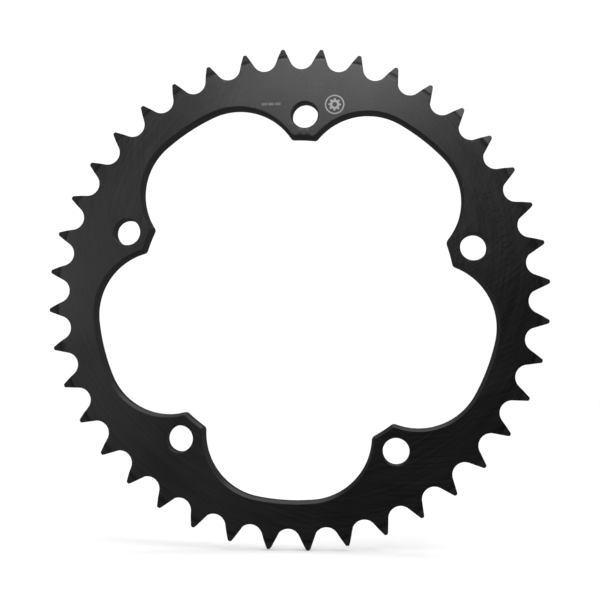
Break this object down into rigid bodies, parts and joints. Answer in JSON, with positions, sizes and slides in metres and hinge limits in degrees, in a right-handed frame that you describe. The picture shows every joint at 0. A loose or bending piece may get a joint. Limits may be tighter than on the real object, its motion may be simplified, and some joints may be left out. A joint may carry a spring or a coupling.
{
  "type": "motorcycle rear sprocket",
  "caption": "Flat machined roller-chain sprocket ring for a motorcycle rear wheel, with inward bolt lugs round a large lobed opening, bevelled teeth and a black anodised finish.",
  "frame": {"origin": "the axle line at half the plate's thickness, which is the wheel's centre", "axes": "+Y along the axle line, away from the marked face and towards the carrier; +Z through one bolt hole; the marked face looks along -Y"},
  "size_m": [0.21, 0.007, 0.21],
  "materials": {
    "black_anodised": "black anodised over a turned and milled surface, satin, with fine machining lines"
  },
  "bodies": {
    "root": {"sprocket_ring": "black_anodised"}
  },
  "joints": []
}
